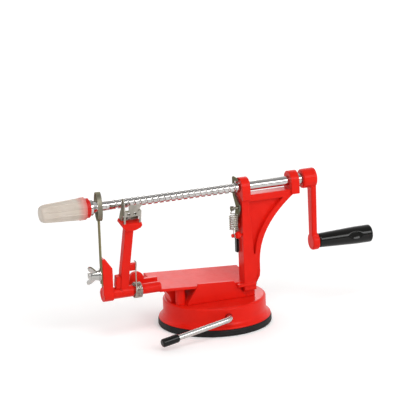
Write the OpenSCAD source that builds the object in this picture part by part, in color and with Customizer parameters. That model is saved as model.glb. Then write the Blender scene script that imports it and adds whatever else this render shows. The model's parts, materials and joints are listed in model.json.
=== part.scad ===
// Hand-cranked fruit peeler, corer and slicer on a round suction base.
// Millimetres. The origin is the middle of the base on the table, +X runs along the
// feed screw to the crank, +Z is up and the user stands on the -Y side.

/* [Suction base] */
// rubber rim diameter
foot_d = 98; // [94:1:106]
// rubber rim height
foot_h = 6; // [5:0.5:7]
// drum wall diameter
drum_d = 89; // [87:1:91]
// height of the deck above the table
deck_z = 24; // [23:0.5:27]
// drum wall and deck thickness
drum_wall = 3; // [2.5:0.5:4]

/* [Suction lever] */
// height of the lever spindle
lever_z = 16.5; // [15.5:0.5:17]
// lever rod diameter
lever_d = 5; // [4.4:0.2:5.6]
// length of the straight lever arm
lever_reach = 63; // [50:1:75]
// turn of the spindle round the base, from straight to the front
lever_turn = -6.5; // [-15:0.5:15]
// droop of the lever arm at rest
lever_droop = 8; // [0:0.5:9]
// throw of the eccentric that lifts the cup
cam_throw = 1.5; // [1:0.1:1.6]

/* [Frame] */
// place of the shaft plane in front of the base middle
shaft_y = -18; // [-22:0.5:-15]
// height of the shaft
shaft_z = 121; // [115:0.5:130]
// left face of the upright
post_x = 19; // [15:0.5:22]
// length of each bearing
bearing_len = 7.5; // [7:0.5:10]
// outer radius of the bearing heads
bearing_r = 8.5; // [7.5:0.5:10]
// clear distance between the bearings
bearing_gap = 38; // [30:1:45]
// thickness of the shelf under the shaft
shelf_t = 4; // [3:0.5:6]
// depth of the upright, front to back
upright_t = 12; // [10:0.5:14]
// left end of the peel chute
chute_x = -57; // [-60:0.5:-54]
// width of the chute, front to back
chute_w = 40; // [36:1:44]
// height of the chute's front edge at its left end
chute_z = 41.8; // [40.4:0.2:43]
// fall of the chute towards the upright
chute_fall = 3.3; // [0:0.1:4]
// casting wall of the chute
chute_t = 2.5; // [2:0.5:3.5]

/* [Feed screw] */
// shaft diameter
shaft_d = 8.2; // [7.6:0.2:9]
// feed per turn
thread_lead = 5.4; // [5:0.2:6]
// depth of the thread groove
thread_depth = 0.9; // [0.6:0.1:1.1]
// number of thread turns
thread_turns = 23; // [20:1:23]
// crank radius
crank_r = 57; // [45:1:60]
// length of the hand grip
grip_len = 50; // [40:1:65]
// diameter of the hand grip at its outer end
grip_d = 15.2; // [13:0.2:18]

/* [Fork and cap] */
// circle through the fork tines, diameter
tine_circle = 10.5; // [9:0.5:11]
// tine diameter
tine_d = 2.6; // [2:0.2:3]
// tine length
tine_len = 38; // [30:1:40]
// safety cap length
cap_len = 39; // [38.5:0.5:44]
// safety cap diameter at its open end
cap_d = 20.5; // [20:0.5:22]

/* [Slicer] */
// clear gap between the cap and the coring ring
ring_gap = 0.5; // [0.5:0.1:1.2]
// length of the coring ring
ring_len = 4; // [3.6:0.2:4.6]
// width of the slicing blade
slicer_w = 9; // [7.5:0.5:11]
// angle of the slicing blade to the feed
slicer_angle = 12; // [4:1:14]

/* [Peeling arm] */
// height of the pivot bar
bar_z = 44; // [43:0.5:46]
// pivot bar diameter
bar_d = 6.4; // [5.6:0.2:7]
// lean of the arm at rest, towards the user
arm_lean = 13; // [12:0.5:18]
// pivot bar to the top of the arm head
arm_len = 67.5; // [62:0.5:70]
// width of the arm
arm_w = 7.5; // [6.5:0.5:9]
// thickness of the arm
arm_t = 6.5; // [6:0.5:8]

/* [Springs] */
// wire of the arm spring
arm_wire = 1; // [0.8:0.1:1.2]
// turns of the arm spring
arm_turns = 5; // [3:1:5]
// wire of the release spring
release_wire = 1; // [0.7:0.1:1.2]
// turns of the release spring
release_turns = 8; // [5:1:8]

/* [Hidden] */
$fn = 48;

RED = [0.80, 0.07, 0.05];
STEEL = [0.72, 0.72, 0.70];
DARK_STEEL = [0.45, 0.44, 0.42];
BLACK = [0.05, 0.05, 0.055];
CLEAR = [0.90, 0.82, 0.76, 0.6];

fit = 0.05;      // radial gap of a running fit
seat = 0.02;     // gap of parts that sit on each other

// stations along the shaft
shelf_z1 = shaft_z - 6.5;
shelf_z0 = shelf_z1 - shelf_t;
bearing2_x = post_x + bearing_len + bearing_gap;
frame_end_x = bearing2_x + bearing_len;
washer_x = frame_end_x + 0.3;
washer_t = 4.3;
hub_x = washer_x + washer_t + seat;
hub_len = 12.6;
hub_r = 8.4;
pin_x = hub_x + 3.2;
pin_depth = 3;
crank_arm_t = 4.8;
crank_arm_x = hub_x + hub_len - crank_arm_t;
boss_t = crank_arm_t + 1.5;
bolt_x = crank_arm_x + 1.2;
grip_x = crank_arm_x + boss_t + 0.3;
plate_t = 1;
plate_x = post_x - 1.3 - plate_t;

// thread proportions: root, flank and land along one lead
groove_root = 1.6;
flank = 0.4;
thread_r = shaft_d / 2 - fit;
root_r = thread_r - thread_depth;
core_r = root_r - 0.25;
thread_x = plate_x + plate_t / 2 - groove_root / 2 - (thread_turns - 1) * thread_lead;
thread_steps = 20;

// fork, cap and coring ring
fork_face_x = thread_x - 14.6;
cap_x = fork_face_x - 4;
ring_x = fork_face_x + 8.7;
ring_r0 = (cap_d / 2 + ring_gap + ring_len / 2 * sin(slicer_angle)) / cos(slicer_angle);
ring_r1 = ring_r0 + 0.8;

// pivot bar stations
bracket_x = ring_x + 3.6;
barrel_x0 = bracket_x - 3.6;
barrel_x1 = bracket_x + 5.2;
barrel_r = 6.2;
sleeve_x0 = barrel_x1 + 0.3;
sleeve_r = 5;
arm_x0 = sleeve_x0 + 6;
arm_x1 = arm_x0 + arm_w;
sleeve_x1 = arm_x1 + 4.6;
spring_pitch = arm_wire + 0.12;
spring_x0 = sleeve_x1 + 0.5 + arm_wire / 2;
spring_angle = 360 * arm_turns + 90 - arm_lean;
spring_x1 = spring_x0 + spring_pitch * spring_angle / 360;
spring_r = 6.5;
nose_x = spring_x1 + arm_wire / 2 + 0.5;
ear_y = shaft_y + spring_r + 2;

// suction lever and its eccentric
cup_lift = 2 * cam_throw;
spindle_y = -(drum_d / 2 + lever_d / 2 + 1.2);
bend_r = 5;
bend_lap = 0.3;
lever_splay = 14;
cam_r = 1.9;
cam_half = 5.5;
slot_gap = 0.3 * cam_throw + 0.05;
rib_y0 = 8;
rib_y1 = 12;

// peeling head, measured from the pivot bar along the arm
arm_bend = 2.2;
head_mid_x = (arm_x0 + arm_x1) / 2 + arm_bend + 0.9;
head_w = 18;
head_h = 7;
head_depth = 13;
head_pivot_y = 2.5;
holder_w = 15.2;
holder_t = 1;

// release catch, measured from the shaft
pivot_y = 4;
pivot_z = -33;
pin_y = -3.2;
pin_z = -17;
stud_z = -41;
pin_r = 1.2;
stud_r = 1.2;
stud_ball = 3.1;
release_r = 3.7;
release_pitch = release_wire + 0.6;
release_x = 12 + (plate_x - 16.7);
tooth_gap = 0.25;
tail_len = 23;
tail_w = 3.4;
tail_y = pivot_y + 0.3;

function unit(v) = v / norm(v);
function shaft_curve(z) = post_x + post_back
    + curve_reach * pow(max(0, (z - curve_z) / (shelf_z0 + 0.5 - curve_z)), 2.3);

// rods along each axis
module xrod(r, x0, x1) translate([x0, 0, 0]) rotate([0, 90, 0]) cylinder(r = r, h = x1 - x0);
module yrod(r, y0, y1) translate([0, y0, 0]) rotate([-90, 0, 0]) cylinder(r = r, h = y1 - y0);
module zrod(r, z0, z1) translate([0, 0, z0]) cylinder(r = r, h = z1 - z0);
module xcone(ra, rb, x0, x1)
    translate([x0, 0, 0]) rotate([0, 90, 0]) cylinder(r1 = ra, r2 = rb, h = x1 - x0);

// a plate drawn in XZ and given a thickness from y0 to y1
module xz_plate(y0, y1) translate([0, y1, 0]) rotate([90, 0, 0]) linear_extrude(y1 - y0) children();
// a plate drawn in YZ and given a thickness from x0 to x1
module yz_plate(x0, x1)
    translate([x0, 0, 0]) rotate([90, 0, 90]) linear_extrude(x1 - x0) children();

// places
module at_shaft() translate([0, shaft_y, shaft_z]) children();
module at_bar() translate([0, shaft_y, bar_z]) children();
module at_arm() at_bar() rotate([arm_lean, 0, 0]) children();
module at_lever() rotate([0, 0, lever_turn]) translate([0, 0, lever_z]) children();
module at_slicer() translate([bracket_x, shaft_y, 0]) rotate([0, 0, -slicer_angle]) children();
module at_ring() translate([ring_x, shaft_y, shaft_z]) rotate([0, 0, -slicer_angle]) children();
module at_crank_end() translate([0, shaft_y, shaft_z - crank_r]) children();

// wire swept along a list of points, with 6 sides
function tangents(p) = [for (i = [0:len(p) - 1])
    unit(p[min(i + 1, len(p) - 1)] - p[max(i - 1, 0)])];
function normals(t, seed) = [for (i = 0, n = unit(seed - (seed * t[0]) * t[0]); i < len(t);
    i = i + 1, n = i < len(t) ? unit(n - (n * t[i]) * t[i]) : n) n];
module wire(p, r, seed) {
    sides = 6;
    t = tangents(p);
    n = normals(t, seed);
    last = len(p) - 1;
    points = [for (i = [0:last]) for (k = [0:sides - 1])
        p[i] + r * (cos(60 * k) * n[i] + sin(60 * k) * cross(t[i], n[i]))];
    skin = [for (i = [0:last - 1]) for (k = [0:sides - 1])
        let (a = i * sides + k, b = i * sides + (k + 1) % sides)
        each [[a, a + sides, b], [b, a + sides, b + sides]]];
    cap0 = [for (k = [0:sides - 1]) k];
    cap1 = [for (k = [sides - 1:-1:0]) last * sides + k];
    polyhedron(points, concat(skin, [cap0, cap1]));
}
// least gap of a wire to itself, away from its own neighbours along the path
function own_gap(p, r, skip) = min([for (i = [0:len(p) - 1 - skip]) for (j = [i + skip:len(p) - 1])
    norm(p[i] - p[j])]) - 2 * r;
function bezier(a, b, c, d, n) = [for (i = [1:n]) let (t = i / n, s = 1 - t)
    s * s * s * a + 3 * s * s * t * b + 3 * s * t * t * c + t * t * t * d];

// Suction base
module base_housing() color(RED) difference() {
    union() {
        rotate_extrude() drum_section();
        rotate([0, 0, lever_turn]) translate([-6, rib_y0, lever_z - 5])
            cube([12, rib_y1 - rib_y0, deck_z - drum_wall / 2 - lever_z + 5]);
    }
    at_lever() yrod(lever_d / 2 + fit, -drum_d, rib_y1 + 1);
    for (p = screw_places()) translate(p) zrod(2.1, 0, deck_z + 1);
}
module drum_section() {
    r = drum_d / 2;
    flare_r = foot_d / 2 - 0.6;
    difference() {
        union() {
            translate([9, foot_h]) square([r - 9, deck_z - foot_h - 2]);
            translate([9, deck_z - 3]) square([r - 11, 3]);
            translate([r - 2, deck_z - 2]) circle(2);
            polygon([[r - 2, foot_h], [flare_r, foot_h], [flare_r, foot_h + 1.2],
                     [r + 1.4, foot_h + 3], [r, foot_h + 6.5]]);
        }
        translate([0, foot_h - 1]) square([r - drum_wall, deck_z - drum_wall - foot_h + 1]);
    }
}
// frame screws: one pair under the chute and one pair under the pedestal, as x and half spacing
screw_inset = 8.5;
screw_pairs = [[screw_inset - drum_d / 2, 12.5], [13, 10]];
screw_hold = 8.5;
post_r = 4.3;
function screw_places() = [for (pair = screw_pairs) for (side = [-1, 1]) [pair[0], side * pair[1], 0]];

module suction_cup() color(BLACK) difference() {
    rotate_extrude() union() {
        r = foot_d / 2;
        ring = r - 9;
        hub = 9;
        polygon([[0, 2.2], [ring - 9, 1.6], [ring, 0], [r - 1.2, 0], [r, 1.2], [r, foot_h - 1],
                 [r - 1, foot_h], [ring + 1.5, foot_h], [ring - 1, 4], [hub, 4.4], [hub - 1, 9], [0, 9]]);
    }
    zrod(3.1, 5, 10);
}
module pull_stud() color(STEEL) rotate([0, 0, lever_turn]) difference() {
    eye_z = lever_z - cam_throw;
    eye_x = cam_throw + cam_r + 0.35;
    eye_h = cam_r + slot_gap;
    union() {
        zrod(3.1 - seat, 5 + seat, eye_z - eye_h);
        translate([-eye_x - 2, -4.4, eye_z - eye_h - 2])
            cube([2 * eye_x + 4, 8.8, 2 * eye_h + 4]);
    }
    translate([-eye_x, -6, eye_z - eye_h]) cube([2 * eye_x, 12, 2 * eye_h]);
}
module lever_rod() color(STEEL) at_lever() rotate([0, -lever_droop, 0]) {
    yrod(lever_d / 2, spindle_y - bend_lap, -cam_half);
    rotate([0, lever_droop, 0]) translate([0, 0, -cam_throw]) yrod(cam_r, -cam_half - 0.1, cam_half + 0.1);
    yrod(lever_d / 2, cam_half, rib_y1 + 2.2);
    translate([-bend_r, spindle_y, 0]) {
        intersection() {
            rotate([0, 0, 120]) rotate_extrude() translate([bend_r, 0]) circle(lever_d / 2 + 0.03);
            linear_extrude(lever_d + 2, center = true)
                polygon([[0, 0], [20, 0], [20, -20], [20 * sin(lever_splay), -20 * cos(lever_splay)]]);
        }
        rotate([0, 0, lever_splay - 90]) translate([bend_r, 0, 0])
            yrod(lever_d / 2, -lever_reach, bend_lap);
    }
}
module at_lever_arm() at_lever() rotate([0, -lever_droop, 0])
    translate([-bend_r, spindle_y, 0]) rotate([0, 0, lever_splay - 90])
    translate([bend_r, -lever_reach, 0]) children();
module lever_tip() color(BLACK) at_lever_arm() difference() {
    r = lever_d / 2 + 1.2;
    round = 1.5;
    rotate([-90, 0, 0]) rotate_extrude() union() {
        translate([0, round - 1]) square([r, 14.5 - round]);
        translate([0, -1]) square([r - round, 2]);
        translate([r - round, round - 1]) circle(round);
        polygon([[0, 13.5], [r, 13.5], [r - 0.7, 15], [0, 15]]);
    }
    yrod(lever_d / 2 + seat, 0, 20);
}
module lever_clip() color(DARK_STEEL) at_lever() rotate([0, -lever_droop, 0]) difference() {
    yrod(lever_d / 2 + 2, rib_y1 + 0.15, rib_y1 + 1.25);
    yrod(lever_d / 2 + seat, rib_y1 - 1, rib_y1 + 4);
}

// Frame
module frame_casting() color(RED) difference() {
    union() {
        chute();
        pedestal();
        chute_leg();
        foot_wall();
        screw_posts();
        upright();
        bearings();
        nose();
        release_anchor();
    }
    at_shaft() xrod(shaft_d / 2 + fit, post_x - 5, frame_end_x + 5);
    for (p = screw_places()) translate(p) zrod(1.6 + seat, deck_z - 1, deck_z + screw_hold + 0.5);
    at_shaft() translate([0, pivot_y, pivot_z]) xrod(1.6 + seat, post_x - 5, post_x + 6);
}
post_foot = 11;
post_back = 15;
curve_z = 52;
curve_reach = 34;
chute_end = post_x + post_foot;
chute_rise = 0.115 * chute_w;
module at_chute() translate([chute_x, 0, chute_z]) rotate([0, chute_fall, 0]) children();
module chute() at_chute() {
    w = chute_w / 2;
    inside = [w - chute_t, chute_rise * (1 - chute_t / chute_w) - chute_t];
    yz_plate(0, chute_end - chute_x)
        polygon([[-w, -chute_t], [-w, 0], [w, chute_rise], [w, -chute_t], [w - chute_t, -chute_t], inside]);
    yz_plate(0, chute_t) polygon([[-w, -chute_t], [-w, 0], [w, chute_rise], [w, -chute_t]]);
}
function chute_edge_z(x) = chute_z - (x - chute_x) * tan(chute_fall);
function chute_top_z(x, y) = chute_edge_z(x) + chute_rise * (y / chute_w + 0.5);
// open box under the chute, whose front wall stands a little above the chute's edge
pedestal_y = chute_w / 2 + 0.5;
pedestal_foot = [-33, post_x + 4];
pedestal_top = [-22, post_x - 8.5];
module pedestal() {
    difference() {
        xz_plate(-pedestal_y, pedestal_y) pedestal_face(0, -0.8);
        xz_plate(-pedestal_y + chute_t, pedestal_y - chute_t) pedestal_face(chute_t, 0);
    }
    xz_plate(-pedestal_y, -pedestal_y + chute_t) pedestal_face(0, 1.8);
}
module pedestal_face(inset, rim) polygon([
    [pedestal_foot[0] + inset, deck_z - inset],
    [pedestal_top[0] + inset, chute_edge_z(pedestal_top[0]) + rim],
    [pedestal_top[1] - inset, chute_edge_z(pedestal_top[1]) + rim],
    [pedestal_foot[1] - inset, deck_z - inset]]);
// leg under the left end of the chute, with a hollow flank
leg_y = 6;
leg_w = 7;
leg_foot = -drum_d / 2 + 2.5;
module chute_leg() {
    steps = 8;
    x0 = chute_x + 0.8;
    x1 = leg_foot + leg_w;
    rise = chute_z - chute_t - 0.8 - deck_z;
    xz_plate(-leg_y, leg_y) polygon(concat(
        [[x1, deck_z], [x1, chute_top_z(x1, 0) - chute_t / 2], [x0, chute_top_z(x0, 0) - chute_t / 2]],
        [for (i = [0:steps]) let (a = 90 * i / steps)
            [x0 + (leg_foot - x0) * sin(a), deck_z + rise * cos(a)]]));
}
// set-back wall between the pedestal and the upright
module foot_wall() {
    x0 = pedestal_top[1] - 3;
    x1 = post_x + 1;
    xz_plate(-pedestal_y + 2, -pedestal_y + 5) polygon([[x0, deck_z], [x0, chute_edge_z(x0) - 0.5],
        [x1, chute_edge_z(x1) - 0.5], [x1, deck_z]]);
}
module screw_posts() for (p = screw_places())
    translate(p) zrod(post_r, deck_z, chute_top_z(p[0], p[1]) - chute_t / 2);

module upright() {
    y0 = shaft_y - upright_t / 2;
    y1 = shaft_y + upright_t / 2;
    web = 4;
    undercut = 4;
    undercut_h = 6.5;
    ledge = 6;
    difference() {
        xz_plate(y0, y1) upright_outline();
        xz_plate(y0 - 1, shaft_y - web / 2) upright_recess();
        xz_plate(shaft_y + web / 2, y1 + 1) upright_recess();
        translate([post_x - 1, y0 - 1, deck_z - 1]) cube([post_foot + 2, undercut + 1, undercut_h + 1]);
    }
    translate([post_x - ledge, y0 - 0.8, chute_edge_z(chute_end) - chute_t])
        cube([post_foot + ledge - 0.5, -chute_w / 2 + 1.5 - y0 + 0.8, chute_t]);
    translate([post_x, y0, shelf_z0]) cube([frame_end_x - post_x, upright_t, shelf_t]);
}
module upright_outline() {
    steps = 14;
    z0 = 46;
    polygon(concat([[post_x, shelf_z1], [post_x, deck_z], [post_x + post_foot, deck_z],
                    [post_x + post_foot, z0 - 10], [post_x + post_back - 0.5, z0 - 4],
                    [post_x + post_back, z0]],
        [for (i = [1:steps]) let (z = z0 + (shelf_z0 + 0.5 - z0) * i / steps) [shaft_curve(z), z]],
        [[shaft_curve(shelf_z0 + 0.5), shelf_z1]]));
}
module upright_recess() {
    steps = 10;
    z0 = 62;
    z1 = shelf_z0 - 2;
    polygon(concat([[post_x + 6.6, z1], [post_x + 9.6, z0]],
        [for (i = [0:steps]) let (z = z0 + (z1 - z0) * i / steps)
            [shaft_curve(z) - 4.6 - 2.6 * i / steps, z]]));
}
module bearings() for (x = [post_x, bearing2_x]) at_shaft() {
    xrod(bearing_r, x, x + bearing_len);
    translate([x, -bearing_r, shelf_z0 - shaft_z])
        cube([bearing_len, 2 * bearing_r, shaft_z - shelf_z0]);
}
module nose() {
    at_bar() {
        xrod(bar_d / 2, barrel_x0 + 0.3, nose_x + 2);
        xrod(sleeve_r - 0.5, nose_x, chute_x + 0.5);
    }
    ear_z = bar_z + 6.5;
    ear_r = 6.5;
    ear_x = (spring_x0 + spring_x1) / 2 + 3.5;
    xz_plate(ear_y, ear_y + 4) {
        translate([ear_x, ear_z]) circle(ear_r);
        translate([arm_x1 - 3.5, bar_z - 3]) square([chute_x + 2 - arm_x1 + 3.5, 9]);
        translate([spring_x1 - 3, bar_z - spring_r - 2.5]) square([6, spring_r + 2.5]);
    }
    translate([nose_x, shaft_y, bar_z - 3.5]) cube([chute_x + 2 - nose_x, ear_y + 4 - shaft_y, 6]);
}
module release_anchor() at_shaft() {
    translate([0, pivot_y, pivot_z]) xrod(3.2, plate_x + plate_t + seat, post_x + 1);
    translate([0, pin_y, stud_z]) {
        xrod(stud_r, release_x - 2, post_x + 1);
        xrod(stud_r + 0.5, release_x - 2.2, release_x - release_wire / 2 - 0.3);
        translate([release_x + stud_ball + 0.4, 0, 0]) rotate([0, 90, 0]) sphere(stud_ball);
    }
}
module frame_screws() color(STEEL) for (p = screw_places()) translate(p) {
    zrod(1.6, deck_z - drum_wall - 1, deck_z + screw_hold);
    zrod(3, deck_z - drum_wall - 2.2, deck_z - drum_wall - seat);
}

// Feed screw: one closed skin whose rows are root start, root end, land start and land end,
// each row meeting the first row of the next turn
module thread_body() {
    k = thread_steps;
    n = k * thread_turns;
    rows = [[0, root_r], [groove_root, root_r], [groove_root + flank, thread_r],
            [thread_lead - flank, thread_r]];
    grid = [for (i = [0:n]) for (row = rows) let (a = 360 * i / k)
        [thread_x + thread_lead * i / k + row[0], row[1] * cos(a), row[1] * sin(a)]];
    start = len(grid);
    ends = [[thread_x + thread_lead / 2, 0, 0],
            [thread_x + thread_lead * thread_turns + thread_lead / 2, 0, 0]];
    within = [for (i = [0:n - 1]) for (j = [0:2]) let (a = 4 * i + j)
        each [[a, a + 1, a + 4], [a + 1, a + 5, a + 4]]];
    across = [for (i = [0:n - k - 1]) let (a = 4 * i + 3, b = 4 * (i + k))
        each [[a, b, a + 4], [b, b + 4, a + 4]]];
    loop0 = concat([for (i = [0:k]) 4 * i], [3, 2, 1]);
    loop1 = concat([for (j = [0:3]) 4 * n + j], [for (i = [1:k]) 4 * (n - i) + 3]);
    fan0 = [for (i = [0:len(loop0) - 1]) [start, loop0[i], loop0[(i + 1) % len(loop0)]]];
    fan1 = [for (i = [0:len(loop1) - 1]) [start + 1, loop1[i], loop1[(i + 1) % len(loop1)]]];
    polyhedron(concat(grid, ends), concat(within, across, fan0, fan1));
}
module lead_screw() color(STEEL) at_shaft() difference() {
    union() {
        thread_body();
        xrod(core_r, fork_face_x + 1.5, post_x + 8);
        xrod(shaft_d / 2, thread_x - 0.2, thread_x + thread_lead + 0.3);
        xrod(shaft_d / 2, thread_x + thread_turns * thread_lead - 0.7, hub_x + hub_len - 1);
    }
    translate([pin_x, 0, 0]) yrod(1.5, -pin_depth, 10);
}
module fork() color(STEEL) at_shaft() {
    difference() {
        union() {
            xrod(tine_circle / 2 + tine_d / 2 + 0.6, fork_face_x, fork_face_x + 2.4);
            xcone(tine_circle / 2 + tine_d / 2 - 0.6, core_r + 1.4, fork_face_x + 2.4, fork_face_x + 6.6);
            xrod(core_r + 1.4, fork_face_x + 6.6, thread_x - 0.3);
        }
        xrod(core_r + seat, fork_face_x + 1.4, thread_x + 1);
    }
    for (a = [90, 210, 330]) rotate([a, 0, 0]) translate([0, tine_circle / 2, 0]) {
        xrod(tine_d / 2, fork_face_x - tine_len + 7, fork_face_x + 1);
        xcone(0.35, tine_d / 2, fork_face_x - tine_len, fork_face_x - tine_len + 7);
    }
}
module cap_collar() color(RED) at_shaft() difference() {
    spigot_r = cap_d / 2 - 1.95;
    union() {
        for (i = [0:2]) xrod(spigot_r + 0.1, cap_x + 0.3 + i * 1.25, cap_x + 1.05 + i * 1.25);
        xrod(spigot_r - 0.5, cap_x, fork_face_x - seat);
        xrod(spigot_r - 0.35, cap_x - 4, cap_x + 0.4);
    }
    xrod(tine_circle / 2 + tine_d / 2 + 0.08, cap_x - 5, fork_face_x + 1);
}
module cap_sleeve() color(CLEAR) at_shaft() difference() {
    r1 = cap_d / 2 - 0.5;
    r0 = r1 - 2;
    x0 = cap_x - cap_len;
    tilt = atan((r1 - r0) / (cap_len - 2));
    union() {
        xcone(r0, r1, x0 + 2, cap_x);
        xcone(r0 - 1.2, r0, x0, x0 + 2);
        for (i = [0:9]) rotate([36 * i, 0, 0]) translate([x0 + 3, 0, r0 - 0.9])
            rotate([0, -tilt, 0]) translate([0, -0.7, 0]) cube([cap_len - 4, 1.4, 1.3]);
    }
    xcone(r0 - 1.5, r1 - 1.5, x0 + 2.2, cap_x + 0.02);
}
module thrust_washer() color(STEEL) at_shaft() difference() {
    xrod(shaft_d / 2 + 0.8, washer_x, washer_x + washer_t);
    xrod(shaft_d / 2 + fit, washer_x - 1, washer_x + washer_t + 1);
}

// Crank
module crank_arm() color(RED) difference() {
    top_w = 10.4;
    foot_w = 8.6;
    union() {
        at_shaft() xrod(hub_r, hub_x, hub_x + hub_len);
        yz_plate(crank_arm_x, crank_arm_x + crank_arm_t)
            polygon([[shaft_y - top_w / 2, shaft_z], [shaft_y + top_w / 2, shaft_z],
                     [shaft_y + foot_w / 2, shaft_z - crank_r], [shaft_y - foot_w / 2, shaft_z - crank_r]]);
        at_crank_end() xrod(7.4, crank_arm_x, crank_arm_x + boss_t);
    }
    at_shaft() xrod(shaft_d / 2 + seat, hub_x - 1, hub_x + hub_len - 1 + seat);
    at_shaft() translate([pin_x, 0, 0]) yrod(1.5, 0, 10);
    at_crank_end() xrod(2.5 + seat, bolt_x, grip_x);
}
module crank_pin() color(DARK_STEEL) at_shaft() translate([pin_x, 0, 0])
    yrod(1.5 - seat, -pin_depth + seat, hub_r - 0.2);
module grip_bolt() color(STEEL) at_crank_end() {
    xrod(2.5, bolt_x + seat, grip_x + grip_len - 4);
    xrod(4, grip_x + grip_len - 4, grip_x + grip_len - 2);
}
module grip() color(BLACK) at_crank_end() difference() {
    translate([grip_x, 0, 0]) rotate([0, 90, 0]) rotate_extrude() grip_section();
    xrod(2.5 + fit, grip_x - 1, grip_x + grip_len);
    xrod(4.3, grip_x + grip_len - 4 - fit, grip_x + grip_len + 1);
    translate([grip_x + 0.68 * grip_len, -grip_d / 2 - 19.2, -1]) sphere(20.4);
}
module grip_section() {
    r0 = grip_d / 2 - 1.4;
    r1 = grip_d / 2;
    union() {
        polygon([[0, 0], [r0 - 1.5, 0], [r0, 1.5], [r1, 0.72 * grip_len], [r1, grip_len - 3],
                 [0, grip_len - 3]]);
        translate([r1 - 3, grip_len - 3]) circle(3);
        translate([0, grip_len - 3]) square([r1 - 3, 3]);
    }
}

// Slicing blade, coring ring and their bracket
clamp_rise = 17.4;
clamp_z = bar_z + clamp_rise;
face_x = -3.1;
strip_t = 1;
bracket_w = 12;
bracket_back = 4.4;
bolt_seat = 1.6;
bracket_top = clamp_z + 15;
module slicer_bracket() color(RED) difference() {
    union() {
        at_bar() xrod(barrel_r, barrel_x0, barrel_x1);
        bracket_plate();
    }
    at_bar() xrod(bar_d / 2 + seat, barrel_x0 - 1, barrel_x1 + 1);
    at_slicer() translate([0, 0, clamp_z]) {
        xrod(2.5 + seat, -10, 10);
        xrod(4.5, bolt_seat, 10);
    }
    translate([bracket_x, shaft_y, bar_z]) yrod(2 + seat, 0, 10);
}
// upright plate whose left face is turned to the angle of the blade
module bracket_plate() difference() {
    translate([bracket_x, shaft_y, 0]) xz_plate(-bracket_w / 2, bracket_w / 2)
        polygon([[face_x - 3, bar_z], [face_x - 3, bracket_top], [face_x + 1.2, bracket_top],
                 [bracket_back, clamp_z + 6], [bracket_back, bar_z]]);
    at_slicer() translate([face_x - 20, -bracket_w, 0]) cube([20, 2 * bracket_w, bracket_top + 1]);
}
module bracket_screw() color(STEEL) translate([bracket_x, shaft_y, bar_z]) {
    yrod(2, bar_d / 2 + seat, barrel_r + 0.5);
    yrod(3.2, barrel_r + 0.4, barrel_r + 2.2);
}
module slicer_blade() color(DARK_STEEL) difference() {
    at_slicer() translate([face_x - strip_t - seat, -slicer_w / 2, clamp_z - 9])
        cube([strip_t, slicer_w, shaft_z - clamp_z + 3]);
    at_ring() xrod(ring_r1, -9, 9);
    at_slicer() translate([face_x, 0, clamp_z]) {
        xrod(2.7, -3, 1);
        translate([-3, -2.7, -12]) cube([4, 5.4, 12]);
    }
}
module corer_ring() color(DARK_STEEL) at_ring() difference() {
    xrod(ring_r1 - seat, -ring_len / 2, ring_len / 2);
    xrod(ring_r0, -ring_len, ring_len / 2 - 1);
    xcone(ring_r0, ring_r1 - 0.15, ring_len / 2 - 1.02, ring_len / 2 + 0.02);
}
washer_out = face_x - strip_t - 2 * seat;
module clamp_bolt() color(STEEL) at_slicer() translate([0, 0, clamp_z]) {
    xrod(2.5, washer_out - 11, bolt_seat + seat);
    xrod(4.2, bolt_seat + seat, bolt_seat + 2.2);
}
module clamp_washer() color(STEEL) at_slicer() translate([0, 0, clamp_z]) difference() {
    xrod(6, washer_out - 1.2, washer_out);
    xrod(2.5 + seat, washer_out - 3, washer_out + 1);
}
module wing_nut() color(STEEL) at_slicer() translate([washer_out - 1.2 - seat, 0, clamp_z]) difference() {
    union() {
        xcone(3.7, 4.8, -7, 0);
        rotate([35, 0, 0]) xz_plate(-1.1, 1.1) for (side = [0, 1]) mirror([0, side]) {
            polygon([[-1, 2.5], [-5.5, 2], [-9.6, 7.2], [-10.4, 9.2], [-9.8, 10.6], [-8, 10.9],
                     [-6.4, 9.8], [-3, 5.4]]);
        }
    }
    xrod(2.5 + fit, -20, 2);
}

// Peeling arm and its head
catch_z = 20;
catch_h = 6;
catch_t = 2;
module peel_arm() color(RED) difference() {
    union() {
        at_arm() {
            xrod(sleeve_r, sleeve_x0, sleeve_x1);
            xz_plate(-arm_t / 2, arm_t / 2) arm_outline();
            xz_plate(-head_depth / 2, head_depth / 2) head_outline();
            translate([arm_x1 - 1, -catch_t, catch_z])
                cube([spring_x0 - arm_x1 + 2, 2 * catch_t, catch_h]);
            translate([arm_x0 - 4, -3, 5]) cube([5, 6, 11]);
        }
        arm_stop();
    }
    at_bar() xrod(bar_d / 2 + fit, sleeve_x0 - 1, sleeve_x1 + 1);
    at_arm() translate([head_mid_x, head_pivot_y, 0]) zrod(2 + seat, arm_len - 6.5, arm_len + 1);
}
module arm_outline() {
    bend_z = 0.55 * arm_len;
    top = arm_len - 2;
    polygon([[arm_x0, 0], [arm_x0, catch_z], [arm_x0 + 0.4 * arm_bend, bend_z], [arm_x0 + arm_bend, top],
             [arm_x1 + arm_bend, top], [arm_x1 + 0.4 * arm_bend, bend_z], [arm_x1, catch_z], [arm_x1, 0]]);
}
module head_outline() {
    x0 = head_mid_x - head_w / 2;
    x1 = head_mid_x + head_w / 2;
    neck = arm_len - head_h;
    polygon([[arm_x0 + arm_bend, neck], [x0, arm_len - 2.5], [x0 + 0.8, arm_len], [x1 - 0.8, arm_len],
             [x1, arm_len - 3], [x1 - 1.5, arm_len - 5], [arm_x1 + arm_bend, neck]]);
}
// the heel stands on the arm sleeve and rests on the frame's ear
module arm_stop() at_bar() translate([arm_x1 - 3.4, 0, 0.3]) cube([3.2, ear_y - shaft_y - seat, 4.6]);
module at_head() at_arm() translate([head_mid_x, 0, arm_len + seat]) children();
module blade_screw() color(STEEL) at_head() translate([0, head_pivot_y, 0]) {
    zrod(2, -6, holder_t + fit);
    zrod(2.6, holder_t + fit, holder_t + 1.1);
}
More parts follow.
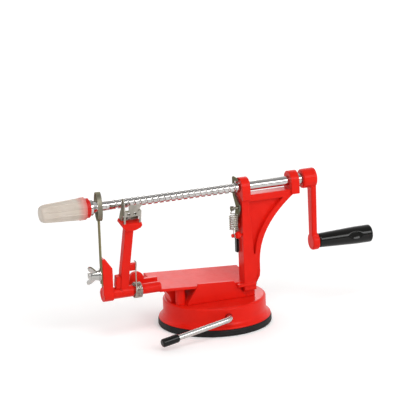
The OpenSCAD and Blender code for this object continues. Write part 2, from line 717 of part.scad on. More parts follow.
// stirrup with a bridge in front and a cheek on each side
module blade_holder() color(STEEL) at_head() difference() {
    x = holder_w / 2;
    front = -head_depth / 2 + 0.2;
    union() {
        translate([-x, 0, 0]) cube([holder_w, 5.2, holder_t]);
        yz_plate(-x, -x + holder_t)
            cheek([[front, 11.5], [front + 1.3, 14], [front + 3.7, 21], [front + 6.9, 21],
                   [2.6, 10]], front);
        yz_plate(x - holder_t, x) cheek([[front, 11], [0, 11], [3, 9]], front);
        xz_plate(front, front + holder_t) stirrup_face();
    }
    translate([0, head_pivot_y, 0]) zrod(2 + fit, -1, 3);
    for (hole_x = [-3.7, 1.9]) translate([hole_x, 0, 8.8]) yrod(1.3, front - 1, front + 3);
}
module cheek(top, front) polygon(concat(top,
    [[4.2, 7], [5, 4], [5.6, 2], [5.2, 0], [0, 0], [-1.5, 6.5], [front, 6.5]]));
module stirrup_face() {
    leg = 1.5;
    bridge = 6.5;
    top = 11;
    difference() {
        translate([-holder_w / 2, 0]) square([holder_w, top]);
        translate([-holder_w / 2 + leg, -1]) square([holder_w - 2 * leg, bridge + 1]);
    }
    polygon([[-3.5, top - 1], [3.2, top - 1], [8, top + 5.5], [-4, top + 6]]);
}
module peel_blade() color(STEEL) at_head()
    yz_plate(-holder_w / 2 + holder_t + seat, holder_w / 2 - holder_t - seat)
    polygon([[-1.6, 8.6], [0.6, 8.9], [3, 7.4], [4.9, 4.4], [4.5, 4.3], [2.6, 6.6], [0.5, 8], [-1.6, 7.7]]);
module blade_guard() color(DARK_STEEL) at_head() translate([0, 4.5, 3])
    xrod(0.6, -holder_w / 2 + holder_t + seat, holder_w / 2 - holder_t - seat);

// Arm spring: coils round the bar, one leg up to the arm's catch, one leg to the frame's ear
module arm_spring() color(STEEL) {
    steps = ceil(spring_angle / 45);
    coil = [for (i = [0:steps]) let (a = 180 + arm_lean + spring_angle * i / steps)
        [spring_x0 + (spring_x1 - spring_x0) * i / steps, spring_r * cos(a), spring_r * sin(a)]];
    rest = -catch_t - arm_wire / 2 - seat;
    top = catch_z + catch_h + 2;
    leg = [for (p = [[-1.9, rest, top + 1.6], [-0.9, rest, top + 1.2], [-0.2, rest, top + 0.2],
                     [0, rest, top - 1.5], [0, rest, catch_z + 3], [0, rest - 0.3, catch_z],
                     [0, -spring_r + 1.2, 9], [0, -spring_r + 0.2, 3]])
        [spring_x0 + p[0], p[1] * cos(arm_lean) - p[2] * sin(arm_lean),
         p[1] * sin(arm_lean) + p[2] * cos(arm_lean)]];
    tail = [for (y = [1.5, 3.2, 5, ear_y - shaft_y]) [spring_x1, y, -spring_r]];
    path = concat(leg, coil, tail);
    echo("arm spring least gap", own_gap(path, arm_wire / 2, 5));
    at_bar() wire(path, arm_wire / 2, [1, 0, 0]);
}

// Release catch
module release_plate() color(DARK_STEEL) at_shaft() difference() {
    union() {
        yz_plate(plate_x, plate_x + plate_t) plate_outline();
        translate([0, pin_y, pin_z]) {
            xrod(pin_r, release_x - 2, plate_x + 0.2);
            xrod(pin_r + 0.9, release_x - 2.2, release_x - release_wire / 2 - 0.3);
        }
    }
    translate([0, pivot_y, pivot_z]) xrod(2 + fit, plate_x - 1, plate_x + plate_t + 1);
}
module plate_outline() {
    tip = root_r + tooth_gap;
    gap = shaft_d / 2 + 1.2;
    tooth = 0.6;
    polygon([[pivot_y + 4.2, pivot_z], [pin_y + 6, pin_z],
             [gap + 3.6, -8], [gap + 3.6, gap + 1.8], [gap + 2, gap + 3.2],
             [-1, gap + 3], [-3, gap + 0.6], [gap - 1, gap], [gap, gap - 1], [gap, tooth], [tip, tooth],
             [tip, -tooth], [gap, -tooth], [gap - 1, -gap - 2], [pin_y - 2.5, pin_z + 2.5],
             [pin_y - 2.5, pin_z - 2], [pivot_y - 4.5, pivot_z + 4], [pivot_y - 4.5, pivot_z],
             [tail_y - tail_w / 2, pivot_z - 5], [tail_y - tail_w / 2, pivot_z - tail_len],
             [tail_y + tail_w / 2, pivot_z - tail_len], [tail_y + tail_w / 2, pivot_z - 5]]);
}
module release_tab() color(BLACK) at_shaft() translate([plate_x + plate_t / 2, tail_y, pivot_z - tail_len])
    difference() {
        tab = [1.9, tail_w + 1, 12];
        slot = [plate_t + 2 * seat, tail_w + 2 * seat, 20];
        translate([-tab[0] / 2, -tab[1] / 2, -2]) cube(tab);
        translate([-slot[0] / 2, -slot[1] / 2, -seat]) cube(slot);
    }
module release_pivot() color(STEEL) at_shaft() translate([0, pivot_y, pivot_z]) {
    xrod(1.6, plate_x + plate_t, post_x + 5.5);
    xrod(2, plate_x - fit, plate_x + plate_t + seat);
    xrod(3.2, plate_x - 1.8, plate_x - fit);
}
// an open hook in the plane of the catch, over the pin when side is 1 and under it when -1
function hook(r, z, side) = [for (i = [0:16]) let (a = 15 * i) [0, r * cos(a), z + side * r * sin(a)]];
function lead_out(z0, r, z, side) = bezier([0, release_r, z0], [-2.4 * side, release_r, z0 + 0.2 * side],
    [0, r, z - 2.4 * side], [0, r, z - 0.1 * side], 7);
module release_spring() color(STEEL) {
    steps = 8 * release_turns;
    half = release_pitch * release_turns / 2;
    middle = (pin_z + stud_z) / 2;
    r1 = pin_r + release_wire / 2 + seat;
    r0 = stud_r + release_wire / 2 + seat;
    coil = [for (i = [0:steps]) let (a = 90 + 360 * release_turns * i / steps)
        [release_r * cos(a), release_r * sin(a), middle - half + 2 * half * i / steps]];
    upper = concat(lead_out(middle + half, r1, pin_z, 1), hook(r1, pin_z, 1));
    lower = concat(lead_out(middle - half, r0, stud_z, -1), hook(r0, stud_z, -1));
    path = concat([for (i = [len(lower) - 1:-1:0]) lower[i]], coil, upper);
    echo("release spring least gap", own_gap(path, release_wire / 2, 7));
    at_shaft() translate([release_x, pin_y, 0]) wire(path, release_wire / 2, [1, 0, 0]);
}

base_housing();
suction_cup();
pull_stud();
lever_rod();
lever_clip();
lever_tip();
frame_casting();
frame_screws();
lead_screw();
fork();
cap_collar();
cap_sleeve();
thrust_washer();
crank_arm();
crank_pin();
grip_bolt();
grip();
slicer_bracket();
bracket_screw();
slicer_blade();
corer_ring();
clamp_bolt();
clamp_washer();
wing_nut();
peel_arm();
arm_spring();
blade_screw();
blade_holder();
peel_blade();
blade_guard();
release_plate();
release_tab();
release_pivot();
release_spring();
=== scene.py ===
"""Looks of a hand-cranked fruit peeler: materials, soft edges, wound springs, camera and light."""
import json
import math

import bmesh
import bpy
from mathutils import Matrix, Vector


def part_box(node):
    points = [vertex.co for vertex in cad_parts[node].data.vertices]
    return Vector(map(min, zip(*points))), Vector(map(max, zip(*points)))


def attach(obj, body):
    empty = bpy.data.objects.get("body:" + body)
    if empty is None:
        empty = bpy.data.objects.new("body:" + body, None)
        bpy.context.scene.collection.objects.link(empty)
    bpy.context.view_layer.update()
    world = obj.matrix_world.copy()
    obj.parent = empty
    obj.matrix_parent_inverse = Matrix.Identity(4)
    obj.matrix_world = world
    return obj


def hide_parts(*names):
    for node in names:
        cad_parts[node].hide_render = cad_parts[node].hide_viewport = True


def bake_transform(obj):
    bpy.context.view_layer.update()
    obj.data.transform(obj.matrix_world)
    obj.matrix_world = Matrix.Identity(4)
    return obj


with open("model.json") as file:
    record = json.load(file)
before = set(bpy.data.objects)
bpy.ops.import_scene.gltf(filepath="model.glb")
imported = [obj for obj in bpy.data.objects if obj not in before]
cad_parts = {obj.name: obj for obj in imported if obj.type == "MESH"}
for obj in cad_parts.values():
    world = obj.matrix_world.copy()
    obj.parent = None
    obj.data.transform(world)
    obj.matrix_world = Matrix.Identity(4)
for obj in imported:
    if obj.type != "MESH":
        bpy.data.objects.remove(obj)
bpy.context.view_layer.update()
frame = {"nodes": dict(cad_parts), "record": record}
nodes = frame["nodes"]
scene = bpy.context.scene
MM = 0.001
WHITE = (1, 1, 1, 1)


# Nodes shared by materials, floor and world
def map_range(tree, value, given, wanted=(0.0, 1.0)):
    """The value carried from the range given to the range wanted."""
    node = tree.nodes.new("ShaderNodeMapRange")
    for socket, number in zip(("From Min", "From Max", "To Min", "To Max"), (*given, *wanted)):
        node.inputs[socket].default_value = number
    tree.links.new(value, node.inputs["Value"])
    return node.outputs["Result"]


def combine(tree, operation, first, second):
    """Two values joined by one arithmetic operation."""
    node = tree.nodes.new("ShaderNodeMath")
    node.operation = operation
    tree.links.new(first, node.inputs[0])
    tree.links.new(second, node.inputs[1])
    return node.outputs[0]


def axis_of(tree, vector, axis):
    """One axis of a vector."""
    node = tree.nodes.new("ShaderNodeSeparateXYZ")
    tree.links.new(vector, node.inputs[0])
    return node.outputs[axis]


# Materials
NOISE_SPAN = (0.3, 0.7)
NOISE_ROUGHNESS = 0.55
BEVEL_SAMPLES = 6


class Finish:
    """A principled material whose texture nodes work in metres of the shared frame."""

    def __init__(self, name, **sockets):
        self.mat = bpy.data.materials.new(name)
        self.mat.use_nodes = True
        self.tree = self.mat.node_tree
        self.bsdf = self.tree.nodes["Principled BSDF"]
        self.place = self.tree.nodes.new("ShaderNodeTexCoord").outputs["Object"]
        for socket, value in sockets.items():
            self.bsdf.inputs[socket.replace("_", " ")].default_value = value

    def noise(self, scale, detail=3.0, stretch=None):
        """Noise with features of about 1/scale metres, drawn out along an axis by stretch."""
        node = self.tree.nodes.new("ShaderNodeTexNoise")
        node.inputs["Scale"].default_value = scale
        node.inputs["Detail"].default_value = detail
        node.inputs["Roughness"].default_value = NOISE_ROUGHNESS
        source = self.place
        if stretch:
            mapping = self.tree.nodes.new("ShaderNodeMapping")
            mapping.inputs["Scale"].default_value = stretch
            self.tree.links.new(source, mapping.inputs["Vector"])
            source = mapping.outputs["Vector"]
        self.tree.links.new(source, node.inputs["Vector"])
        return node.outputs["Fac"]

    def colour(self, fac, low, high):
        """Colours from low to high over the span that noise mostly keeps to."""
        node = self.tree.nodes.new("ShaderNodeValToRGB")
        for stop, position, rgb in zip(node.color_ramp.elements, NOISE_SPAN, (low, high)):
            stop.position = position
            stop.color = (*rgb, 1)
        self.tree.links.new(fac, node.inputs["Fac"])
        self.tree.links.new(node.outputs["Color"], self.bsdf.inputs["Base Color"])
        return self

    def roughness(self, fac, low, high):
        level = map_range(self.tree, fac, NOISE_SPAN, (low, high))
        self.tree.links.new(level, self.bsdf.inputs["Roughness"])
        return self

    def painted_show_through_along_x(self, tint, start, end):
        """The colour so far, turning into tint from start to end metres along X."""
        share = map_range(self.tree, axis_of(self.tree, self.place, "X"), (start, end))
        base = self.bsdf.inputs["Base Color"]
        mix = self.tree.nodes.new("ShaderNodeMixRGB")
        mix.inputs["Color2"].default_value = (*tint, 1)
        self.tree.links.new(share, mix.inputs["Fac"])
        self.tree.links.new(base.links[0].from_socket, mix.inputs["Color1"])
        self.tree.links.new(mix.outputs["Color"], base)
        return self

    def rounded(self, radius):
        """Edges that catch the light as if rounded to radius metres."""
        node = self.tree.nodes.new("ShaderNodeBevel")
        node.samples = BEVEL_SAMPLES
        node.inputs["Radius"].default_value = radius
        self.tree.links.new(node.outputs["Normal"], self.bsdf.inputs["Normal"])
        return self

    def bump(self, fac, depth):
        """Relief of depth metres, added to what is there."""
        node = self.tree.nodes.new("ShaderNodeBump")
        node.inputs["Distance"].default_value = depth
        node.inputs["Strength"].default_value = 1.0
        self.tree.links.new(fac, node.inputs["Height"])
        normal = self.bsdf.inputs["Normal"]
        if normal.is_linked:
            self.tree.links.new(normal.links[0].from_socket, node.inputs["Normal"])
        self.tree.links.new(node.outputs["Normal"], normal)
        return self


def enamel():
    """Red stove enamel on a casting: soft waves, fine orange peel and rounded edges."""
    f = Finish("red_enamel", Coat_Weight=0.3, Coat_IOR=1.22, Coat_Roughness=0.12, Specular_IOR_Level=0.09)
    f.colour(f.noise(45), (0.72, 0.0115, 0.0050), (0.80, 0.0150, 0.0066))
    f.roughness(f.noise(220), 0.30, 0.42)
    f.rounded(0.9 * MM)
    f.bump(f.noise(140, 2), 0.04 * MM)
    return f.bump(f.noise(900, 2), 0.012 * MM).mat


def red_plastic():
    f = Finish("red_plastic", Specular_IOR_Level=0.3)
    f.colour(f.noise(120), (0.66, 0.012, 0.008), (0.76, 0.020, 0.012))
    f.roughness(f.noise(400), 0.25, 0.36)
    return f.bump(f.noise(1200, 2), 0.02 * MM).mat


def rubber():
    f = Finish("black_rubber", Specular_IOR_Level=0.25)
    f.colour(f.noise(150), (0.008, 0.008, 0.008), (0.018, 0.017, 0.016))
    f.roughness(f.noise(300), 0.50, 0.70)
    return f.bump(f.noise(1600, 4), 0.04 * MM).mat


def chrome():
    f = Finish("bright_chrome", Metallic=1.0)
    f.colour(f.noise(80), (0.53, 0.515, 0.50), (0.65, 0.63, 0.615))
    f.roughness(f.noise(120), 0.05, 0.07)
    return f.bump(f.noise(2500, 2, (1, 0.05, 0.05)), 0.0006 * MM).mat


def satin_rod():
    f = Finish("satin_steel", Metallic=1.0)
    f.colour(f.noise(120), (0.58, 0.57, 0.55), (0.70, 0.69, 0.66))
    f.roughness(f.noise(400), 0.20, 0.28)
    return f.bump(f.noise(1500, 2), 0.004 * MM).mat


def zinc():
    f = Finish("zinc_plate", Metallic=1.0)
    f.colour(f.noise(160), (0.48, 0.47, 0.45), (0.62, 0.61, 0.58))
    f.roughness(f.noise(600), 0.10, 0.20)
    return f.bump(f.noise(1800), 0.01 * MM).mat


def stainless(name, low, high, matt=0.0):
    """Strip brushed along Z, from colour low to high, and rougher by matt."""
    f = Finish(name, Metallic=1.0, Specular_Tint=(0.42, 0.39, 0.28, 1))
    f.colour(f.noise(200, stretch=(1, 1, 0.1)), low, high)
    f.roughness(f.noise(900, stretch=(1, 1, 0.05)), 0.26 + matt, 0.42 + matt)
    return f.bump(f.noise(3000, 2, (1, 1, 0.03)), 0.008 * MM).mat


def spring_steel():
    f = Finish("spring_steel", Metallic=1.0)
    f.colour(f.noise(300), (0.38, 0.36, 0.31), (0.56, 0.53, 0.47))
    f.roughness(f.noise(700), 0.14, 0.26)
    return f.bump(f.noise(2500, 2), 0.006 * MM).mat


def black_plastic():
    f = Finish("black_gloss", Specular_IOR_Level=0.30)
    f.colour(f.noise(90), (0.003, 0.003, 0.0025), (0.006, 0.006, 0.005))
    f.roughness(f.noise(260), 0.05, 0.12)
    return f.bump(f.noise(80, 2), 0.01 * MM).mat


def milky_plastic():
    """Milky, with the pink of the red collar showing through painted onto the sleeve near its open end."""
    f = Finish("milky_plastic", Transmission_Weight=0.30, IOR=1.35, Specular_IOR_Level=0.5)
    f.colour(f.noise(70), (0.76, 0.66, 0.56), (0.86, 0.77, 0.68))
    f.roughness(f.noise(180), 0.10, 0.18)
    collar_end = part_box("cap_sleeve")[1][0]
    # Painted show-through: the base colour turns pink towards the collar end, standing in for the red collar
    # seen through the sleeve.
    f.painted_show_through_along_x((0.88, 0.30, 0.26), collar_end - 8 * MM, collar_end - 1 * MM)
    return f.bump(f.noise(60, 2), 0.02 * MM).mat


MATERIALS = {
    "red_paint": enamel(),
    "red_plastic": red_plastic(),
    "rubber": rubber(),
    "chrome": chrome(),
    "steel": zinc(),
    "blade_steel": stainless("blade_steel", (0.25, 0.235, 0.18), (0.40, 0.38, 0.30)),
    "spring_steel": spring_steel(),
    "black_plastic": black_plastic(),
    "clear_plastic": milky_plastic(),
}
OWN_FINISH = {
    "slicer_blade": stainless("olive_strip", (0.22, 0.185, 0.095), (0.34, 0.295, 0.17)),
    "release_plate": stainless("dull_strip", (0.14, 0.13, 0.10), (0.22, 0.21, 0.165)),
    "corer_ring": stainless("matt_ring", (0.22, 0.20, 0.15), (0.34, 0.32, 0.25), 0.2),
    "blade_holder": stainless("pale_holder", (0.33, 0.31, 0.27), (0.50, 0.47, 0.42), 0.04),
    "lever_rod": satin_rod(),
}
SLOT = {s["node"]: s["material_slot"] for s in frame["record"]["subparts"]}


def paint(obj, material):
    obj.data.materials.clear()
    obj.data.materials.append(material)


# Rounded edges
WELD_GAP = 0.002 * MM
FLAT_DEG = 0.5
SHARP_DEG = 32
EDGE_MM = {"frame_casting": 0.3, "base_housing": 0.5, "crank_arm": 1.2, "slicer_bracket": 0.4,
           "peel_arm": 0.4, "cap_collar": 0.12, "lever_tip": 0.3, "wing_nut": 0.3, "clamp_bolt": 0.25,
           "clamp_washer": 0.15, "blade_holder": 0.15, "release_plate": 0.12, "release_tab": 0.3,
           "release_pivot": 0.3, "bracket_screw": 0.3, "blade_screw": 0.3, "fork": 0.15,
           "thrust_washer": 0.2, "grip_bolt": 0.25}


def even_normals(obj):
    obj.modifiers.new("normals", "WEIGHTED_NORMAL").keep_sharp = True


def soften(obj, width):
    """Edges rounded to width metres where faces meet sharply."""
    weld = obj.modifiers.new("weld", "WELD")
    weld.merge_threshold = WELD_GAP
    flat = obj.modifiers.new("flat", "DECIMATE")
    flat.decimate_type = "DISSOLVE"
    flat.angle_limit = math.radians(FLAT_DEG)
    bevel = obj.modifiers.new("edge", "BEVEL")
    bevel.width = width
    bevel.segments = 2
    bevel.limit_method = "ANGLE"
    bevel.angle_limit = math.radians(SHARP_DEG)
    bevel.use_clamp_overlap = False
    bevel.harden_normals = False
    even_normals(obj)


for name, obj in nodes.items():
    paint(obj, OWN_FINISH.get(name, MATERIALS[SLOT[name]]))
    if name in EDGE_MM:
        soften(obj, EDGE_MM[name] * MM)


# Wound and turned pieces, finer than their solids
def v(*mm):
    return Vector(mm) * MM


BAR = v(0, -18, 44)
SHAFT = v(0, -18, 121)
MERGE = 1e-7


def circle(count):
    """The angles of count points round a full turn."""
    return [2 * math.pi * k / count for k in range(count)]


def catmull(points, per):
    """A smooth path through the points, with per steps between each two."""
    path = []
    for i in range(len(points) - 1):
        a, b, c, d = (points[min(max(j, 0), len(points) - 1)] for j in (i - 1, i, i + 1, i + 2))
        for k in range(per):
            t = k / per
            path.append(0.5 * (2 * b + (c - a) * t + (2 * a - 5 * b + 4 * c - d) * t ** 2
                               + (3 * b - a - 3 * c + d) * t ** 3))
    return path + [points[-1]]


def make_object(name, bm, slot):
    mesh = bpy.data.meshes.new(name)
    bmesh.ops.recalc_face_normals(bm, faces=bm.faces)
    for face in bm.faces:
        face.smooth = True
    bm.to_mesh(mesh)
    bm.free()
    obj = bpy.data.objects.new(name, mesh)
    scene.collection.objects.link(obj)
    paint(obj, MATERIALS[slot])
    return obj


def skin(bm, rings, closed=True):
    """Faces between neighbouring rings of vertices."""
    for a, b in zip(rings, rings[1:]):
        n = len(a)
        for k in range(n if closed else n - 1):
            bm.faces.new((a[k], a[(k + 1) % n], b[(k + 1) % n], b[k]))


def close_ends(bm, rings):
    bm.faces.new(rings[0])
    bm.faces.new(rings[-1])


def tube(name, path, radius, slot, sides=14):
    """Round wire along a path, with its ends rounded off."""
    bm = bmesh.new()
    last = len(path) - 1
    ahead = [(path[min(i + 1, last)] - path[max(i - 1, 0)]).normalized() for i in range(last + 1)]
    side = ahead[0].orthogonal().normalized()
    rings = []
    for i, (p, t) in enumerate(zip(path, ahead)):
        side = (side - side.dot(t) * t).normalized()
        other = t.cross(side)
        stops = [(0.0, 1.0)]
        if i == 0:
            stops = [(-0.9, 0.35), (-0.6, 0.78), (0.0, 1.0)]
        if i == last:
            stops = [(0.0, 1.0), (0.6, 0.78), (0.9, 0.35)]
        for along, share in stops:
            middle = p + along * radius * t
            rings.append([bm.verts.new(middle + share * radius * (math.cos(a) * side + math.sin(a) * other))
                          for a in circle(sides)])
    skin(bm, rings)
    close_ends(bm, rings)
    return make_object(name, bm, slot)


def arm_spring():
    """A torsion spring: a leg up the arm, turns round the bar and a tail on the casting."""
    wire, r, pitch, turns, lean = 1.0, 6.5, 1.12, 5, math.radians(13)
    swept = math.radians(360 * turns + 90) - lean
    x1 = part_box("arm_spring")[1][0] / MM - wire / 2
    x0 = x1 - pitch * swept / (2 * math.pi)
    steps = 40 * turns
    coil = []
    for i in range(steps + 1):
        a = math.pi + lean + swept * i / steps
        coil.append(v(x0 + (x1 - x0) * i / steps, r * math.cos(a), r * math.sin(a)))
    arm_half, clear, top = 2, 0.02, 28
    rest = -arm_half - wire / 2 - clear
    drawn = [(-1.9, rest, top + 1.6), (-0.9, rest, top + 1.2), (-0.2, rest, top + 0.2), (0, rest, top - 1.5),
             (0, rest, 23), (0, rest - 0.3, 20), (0, 1.2 - r, 9), (0, 0.2 - r, 3)]
    leg = [v(x0 + x, y * math.cos(lean) - z * math.sin(lean), y * math.sin(lean) + z * math.cos(lean))
           for x, y, z in drawn]
    tail = [v(x1, y, -r) for y in (1.5, 3.2, 5, r + 2)]
    path = catmull(leg + coil[:1], 6)[:-1] + coil + catmull(coil[-1:] + tail, 5)[1:]
    obj = tube("arm_spring_wire", [p + BAR for p in path], wire / 2 * MM, "spring_steel")
    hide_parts("arm_spring")
    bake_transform(obj)
    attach(obj, "base")


def release_spring():
    """An extension spring with an eye on the catch's pin and one on the casting's stud."""
    wire, r, eye, turns, pitch = 0.85, 3.7, 1.72, 8, 1.6
    pin_z, stud_z = -17, -41
    middle, half = (pin_z + stud_z) / 2, pitch * turns / 2
    eye_steps, eye_deg, lead_steps, reach = 33, 7.5, 14, 2.4
    catch_x, catch_y = 12, -3.2

    def hook(z, side):
        """Most of a circle round the pin or stud at z, upwards or downwards by side."""
        turned = [math.radians(eye_deg * i) for i in range(eye_steps)]
        return [v(0, eye * math.cos(a), z + side * eye * math.sin(a)) for a in turned]

    def lead_out(z0, z, side):
        """A curve from the coil's end at z0 to the start of the eye at z."""
        a, b = v(0, r, z0), v(-reach * side, r, z0 + 0.2 * side)
        c, d = v(0, eye, z - reach * side), v(0, eye, z - 0.1 * side)
        return [(1 - t) ** 3 * a + 3 * (1 - t) ** 2 * t * b + 3 * (1 - t) * t * t * c + t ** 3 * d
                for t in (i / lead_steps for i in range(1, lead_steps + 1))]

    steps = 40 * turns
    coil = []
    for i in range(steps + 1):
        a = math.pi / 2 + 2 * math.pi * turns * i / steps
        coil.append(v(r * math.cos(a), r * math.sin(a), middle - half + 2 * half * i / steps))
    upper = lead_out(middle + half, pin_z, 1) + hook(pin_z, 1)
    lower = lead_out(middle - half, stud_z, -1) + hook(stud_z, -1)
    place = SHAFT + v(catch_x, catch_y, 0)
    path = [p + place for p in lower[::-1] + coil + upper]
    obj = tube("release_spring_wire", path, wire / 2 * MM, "spring_steel", 12)
    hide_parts("release_spring")
    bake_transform(obj)
    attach(obj, "base")


def feed_screw():
    """The cut groove with eased edges, and the plain ends of the shaft."""
    lead, turns, steps = 5.4, 23, 40
    shaft_r, outer, root, neck, plain_end = 4.1, 4.05, 3.15, 3.2, 13.1
    low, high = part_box("lead_screw")
    start, far = low[0] / MM + plain_end, high[0] / MM
    after = start + turns * lead
    profile = [(0.1, root), (0.8, root), (1.5, root), (1.6, root + 0.15), (1.76, outer - 0.2),
               (1.86, outer - 0.05), (2.0, outer), (2.7, outer), (3.5, outer), (4.3, outer), (5.0, outer),
               (5.14, outer - 0.05), (5.24, outer - 0.2), (5.4, root + 0.15)]
    bm = bmesh.new()
    rows = []
    for i in range(turns * steps + 1):
        a = 2 * math.pi * i / steps
        rows.append([bm.verts.new(SHAFT + v(start + lead * i / steps + x, r * math.cos(a), r * math.sin(a)))
                     for x, r in profile])
    skin(bm, rows, closed=False)
    for i in range((turns - 1) * steps):
        bm.faces.new((rows[i][-1], rows[i + steps][0], rows[i + steps + 1][0], rows[i + 1][-1]))
    near_end = [(start - 0.2, 3.6), (start + 0.1, shaft_r), (start + 5.3, shaft_r), (start + 5.6, 3.9),
                (start + 5.7, neck)]
    far_end = [(after - 0.7, neck), (after - 0.6, 3.9), (after - 0.3, shaft_r), ((after + far) / 2, shaft_r),
               (far - 0.5, shaft_r), (far, 3.7), (far, 0.8)]
    for stops in (near_end, far_end):
        skin(bm, [[bm.verts.new(SHAFT + v(x, r * math.cos(a), r * math.sin(a))) for a in circle(48)]
                  for x, r in stops])
    obj = make_object("feed_screw", bm, "chrome")
    even_normals(obj)
    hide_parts("lead_screw")
    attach(obj, "screw")


def cap_sleeve():
    """A moulded sleeve with rounded ribs along it, open at the collar."""
    low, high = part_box("cap_sleeve")
    ribs, sides, wall, steps = 10, 240, 1.3, 8
    rib, rib_start, rib_end, rib_room, taper = 0.8, 4, 5, 0.42, 2.0
    x0, x1 = low[0] / MM, high[0] / MM
    r1 = (high[2] - low[2]) / MM / 2 - rib_room
    r0 = r1 - taper
    bm = bmesh.new()

    def row(x, r, rise):
        """Vertices round the sleeve at x, where the ribs stand rise above radius r."""
        ring = []
        for a in circle(sides):
            reach = r + rise * max(0.0, 3 * math.cos(ribs * a) - 2) ** 0.7
            ring.append(bm.verts.new(SHAFT + v(x, reach * math.sin(a), reach * math.cos(a))))
        return ring

    # Stops along the sleeve: place, radius and height of the ribs
    tip = [(x0, r0 - 2.2, 0), (x0 + 0.25, r0 - 1.5, 0), (x0 + 1, r0 - 0.9, 0), (x0 + 2, r0 - 0.5, 0.1),
           (x0 + 3, r0 - 0.45, 0.5), (x0 + rib_start, r0 - 0.4, rib)]
    ribbed = [(x0 + rib_start + (x1 - rib_start - rib_end - x0) * i / steps, r0 - 0.4 + 1.6 * i / steps, rib)
              for i in range(1, steps + 1)]
    mouth = [(x1 - 4, r1 - 0.2, 0.6), (x1 - 3, r1, 0.3), (x1 - 0.3, r1 + 0.1, 0.2), (x1, r1 - 0.2, 0)]
    inside = [(x1, r1 - wall, 0), (x0 + 2.2, r0 - 0.5 - wall, 0)]
    rings = [row(*stop) for stop in tip + ribbed + mouth + inside]
    skin(bm, rings)
    close_ends(bm, rings)
    obj = make_object("ribbed_sleeve", bm, "clear_plastic")
    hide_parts("cap_sleeve")
    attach(obj, "cap")


def hand_grip():
    """A tapered grip with a shallow thumb dent, whose rim is rounded."""
    low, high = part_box("grip")
    x0, length, r1 = low[0] / MM, (high[0] - low[0]) / MM, (high[2] - low[2]) / MM / 2
    axis = v(0, (low[1] + high[1]) / MM / 2, (low[2] + high[2]) / MM / 2)
    dent_x, dent_r, dent_depth, dent_up, ease = x0 + 0.66 * length, 20.0, 1.25, math.radians(14), 0.35
    away = r1 + dent_r - dent_depth
    bore, recess, deep = 2.6, 4.3, 4.0
    nose, taper, straight, edge = 1.5, 1.4, 0.72 * length, 1.8
    taper_steps, straight_steps, sides = 60, 30, 160

    def reach(x, r, a):
        """Radius at angle a from the front: the taper or the dent, blended at the rim."""
        along = away * math.cos(a - dent_up)
        inner = dent_r ** 2 - (x - dent_x) ** 2 - away ** 2 + along ** 2
        if inner <= 0 or along <= 0:
            return r
        dent = along - math.sqrt(inner)
        share = min(max(0.5 + 0.5 * (dent - r) / ease, 0), 1)
        return dent * (1 - share) + r * share - ease * share * (1 - share)

    stops = [(0, r1 - 2.9), (0.3, r1 - 2.1), (0.8, r1 - 1.6), (nose, r1 - taper)]
    stops += [(nose + (straight - nose) * i / taper_steps, r1 - taper + taper * i / taper_steps)
              for i in range(1, taper_steps + 1)]
    stops += [(straight + (length - straight - edge) * i / straight_steps, r1)
              for i in range(1, straight_steps + 1)]
    stops += [(length - edge + edge * math.sin(math.radians(t)), r1 - edge + edge * math.cos(math.radians(t)))
              for t in (22, 45, 68, 90)]
    stops += [(length, recess + 0.2), (length - 0.2, recess), (length - deep, recess), (length - deep, bore),
              (0, bore)]
    bm = bmesh.new()
    rings = []
    for x, r in stops + stops[:1]:
        ring = []
        for a in circle(sides):
            far = reach(x0 + x, r, a)
            ring.append(bm.verts.new(axis + v(x0 + x, -far * math.cos(a), far * math.sin(a))))
        rings.append(ring)
    skin(bm, rings)
    bmesh.ops.remove_doubles(bm, verts=bm.verts, dist=MERGE)
    obj = make_object("thumb_grip", bm, "black_plastic")
    even_normals(obj)
    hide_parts("grip")
    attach(obj, "hand_grip")


def lathe(profile):
    """A profile of radius and height turned round the Z axis."""
    bm = bmesh.new()
    rings = [[bm.verts.new(v(r * math.cos(a), r * math.sin(a), z)) for a in circle(128)] for r, z in profile]
    skin(bm, rings)
    return bm, rings


# Radius and height, in millimetres, round the cup's ring and over its middle
CUP_RING = [(39, 0.9), (39, 0.25), (39.6, 0), (47.6, 0), (48.5, 0.35), (49, 1.2), (49, 2.7), (48.8, 3.0),
            (49, 3.3), (49, 4.8), (48.7, 5.6), (48, 6), (41.5, 6), (39.4, 4.2), (39, 3.4), (39, 0.9)]
CUP_MIDDLE = [(0.5, 2.2), (10, 2.05), (20, 1.85), (31, 1.5), (35, 0.9), (39, 0.25), (39, 0.9), (33, 2.6),
              (24, 3.6), (12, 4.3), (9.2, 4.6), (8.6, 5.4), (8, 8.6), (7.6, 9), (3.12, 9), (3.12, 5),
              (0.5, 5)]


def suction_cup():
    """A stiff outer ring on the base, and a thin middle that the stud draws up."""
    ring, _ = lathe(CUP_RING)
    bmesh.ops.remove_doubles(ring, verts=ring.verts, dist=MERGE)
    rim = make_object("cup_ring", ring, "rubber")
    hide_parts("suction_cup")
    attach(rim, "base")
    middle, rings = lathe(CUP_MIDDLE)
    close_ends(middle, rings)
    cup = make_object("cup_middle", middle, "rubber")
    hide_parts("suction_cup")
    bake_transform(cup)
    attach(cup, "base")


arm_spring()
release_spring()
feed_screw()
cap_sleeve()
hand_grip()
suction_cup()


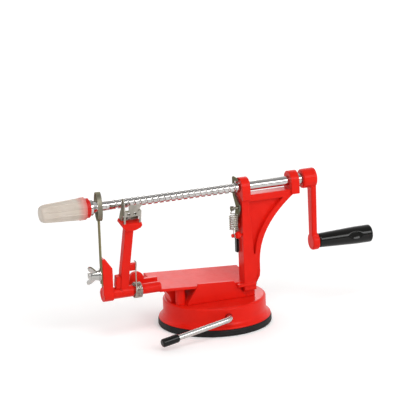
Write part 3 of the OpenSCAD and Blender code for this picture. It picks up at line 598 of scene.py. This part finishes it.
# Camera: a long lens, fitted to the base, the shaft and the grip
def make_camera():
    yaw, pitch, roll = math.radians(21.5), math.radians(14.65), math.radians(2.2)
    shift_side, shift_top, distance = 0.009, -0.105, 2.5936
    side = Vector((math.cos(yaw), -math.sin(yaw), 0))
    ahead = Vector((math.sin(yaw) * math.cos(pitch), math.cos(yaw) * math.cos(pitch), -math.sin(pitch)))
    top = side.cross(ahead)
    right = math.cos(roll) * side - math.sin(roll) * top
    up = math.sin(roll) * side + math.cos(roll) * top
    data = bpy.data.cameras.new("camera")
    data.lens = 270
    data.sensor_width = 36
    data.clip_end = 50
    cam = bpy.data.objects.new("camera", data)
    place = -(shift_side * side + shift_top * top + distance * ahead)
    cam.matrix_world = Matrix.Translation(place) @ Matrix((right, up, -ahead)).transposed().to_4x4()
    scene.collection.objects.link(cam)
    scene.camera = cam


# Light and floor
# Name, place, target, width and height in metres, watts
LIGHTS = (
    ("key", (-0.4, -1.5, 2.0), (0, 0, 0.06), (1.0, 1.0), 18),
    ("fill", (1.6, -0.9, 0.9), (0, 0, 0.06), (0.9, 1.2), 1.5),
    ("strip", (0.85, -2.1, 1.25), (0, 0, 0.08), (1.4, 0.9), 19),
    ("rim", (0.42, 1.45, 0.76), (0, 0, 0.05), (0.5, 0.8), 2.9),
)
FLOOR_REACH = 8


def area_light(name, place, target, size, watts):
    data = bpy.data.lights.new(name, "AREA")
    data.shape = "RECTANGLE"
    data.size, data.size_y = size
    data.energy = watts
    obj = bpy.data.objects.new(name, data)
    obj.location = place
    obj.rotation_euler = (Vector(target) - Vector(place)).to_track_quat("-Z", "Y").to_euler()
    scene.collection.objects.link(obj)


def make_world():
    """White behind the object, dimmer towards the user and overhead, and plain white to the camera."""
    world = bpy.data.worlds.new("studio")
    world.use_nodes = True
    tree = world.node_tree
    tree.nodes.clear()
    path = tree.nodes.new("ShaderNodeLightPath")
    seen = combine(tree, "MAXIMUM", path.outputs["Is Camera Ray"], path.outputs["Is Transmission Ray"])
    facing = tree.nodes.new("ShaderNodeTexCoord").outputs["Generated"]
    level = map_range(tree, axis_of(tree, facing, "Y"), (-0.7, 0.7), (0.40, 1.0))
    overhead = map_range(tree, axis_of(tree, facing, "Z"), (0.45, 0.95), (1.0, 0.6))
    lit = tree.nodes.new("ShaderNodeBackground")
    tree.links.new(combine(tree, "MULTIPLY", level, overhead), lit.inputs["Strength"])
    white = tree.nodes.new("ShaderNodeBackground")
    white.inputs["Strength"].default_value = 1.0
    for node in (lit, white):
        node.inputs["Color"].default_value = WHITE
    mix = tree.nodes.new("ShaderNodeMixShader")
    out = tree.nodes.new("ShaderNodeOutputWorld")
    tree.links.new(seen, mix.inputs["Fac"])
    tree.links.new(lit.outputs[0], mix.inputs[1])
    tree.links.new(white.outputs[0], mix.inputs[2])
    tree.links.new(mix.outputs[0], out.inputs["Surface"])
    scene.world = world


def make_floor():
    """A pale floor that keeps the shadow and turns white to the camera farther off."""
    mesh = bpy.data.meshes.new("floor")
    corners = [(x * FLOOR_REACH, y * FLOOR_REACH, 0) for x, y in ((-1, -1), (1, -1), (1, 1), (-1, 1))]
    mesh.from_pydata(corners, [], [(0, 1, 2, 3)])
    floor = bpy.data.objects.new("floor", mesh)
    scene.collection.objects.link(floor)
    f = Finish("pale_floor", Specular_IOR_Level=0.0, Roughness=1.0, Emission_Color=WHITE)
    f.colour(f.noise(3), (0.93, 0.93, 0.925), (0.95, 0.95, 0.945))
    apart = f.tree.nodes.new("ShaderNodeVectorMath")
    apart.operation = "LENGTH"
    f.tree.links.new(f.place, apart.inputs[0])
    white = map_range(f.tree, apart.outputs["Value"], (0.4, 2.5), (0.20, 0.7))
    seen = f.tree.nodes.new("ShaderNodeLightPath").outputs["Is Camera Ray"]
    f.tree.links.new(combine(f.tree, "MULTIPLY", seen, white), f.bsdf.inputs["Emission Strength"])
    mesh.materials.append(f.mat)


make_camera()
make_world()
make_floor()
for light in LIGHTS:
    area_light(*light)

scene.view_settings.view_transform = "Standard"
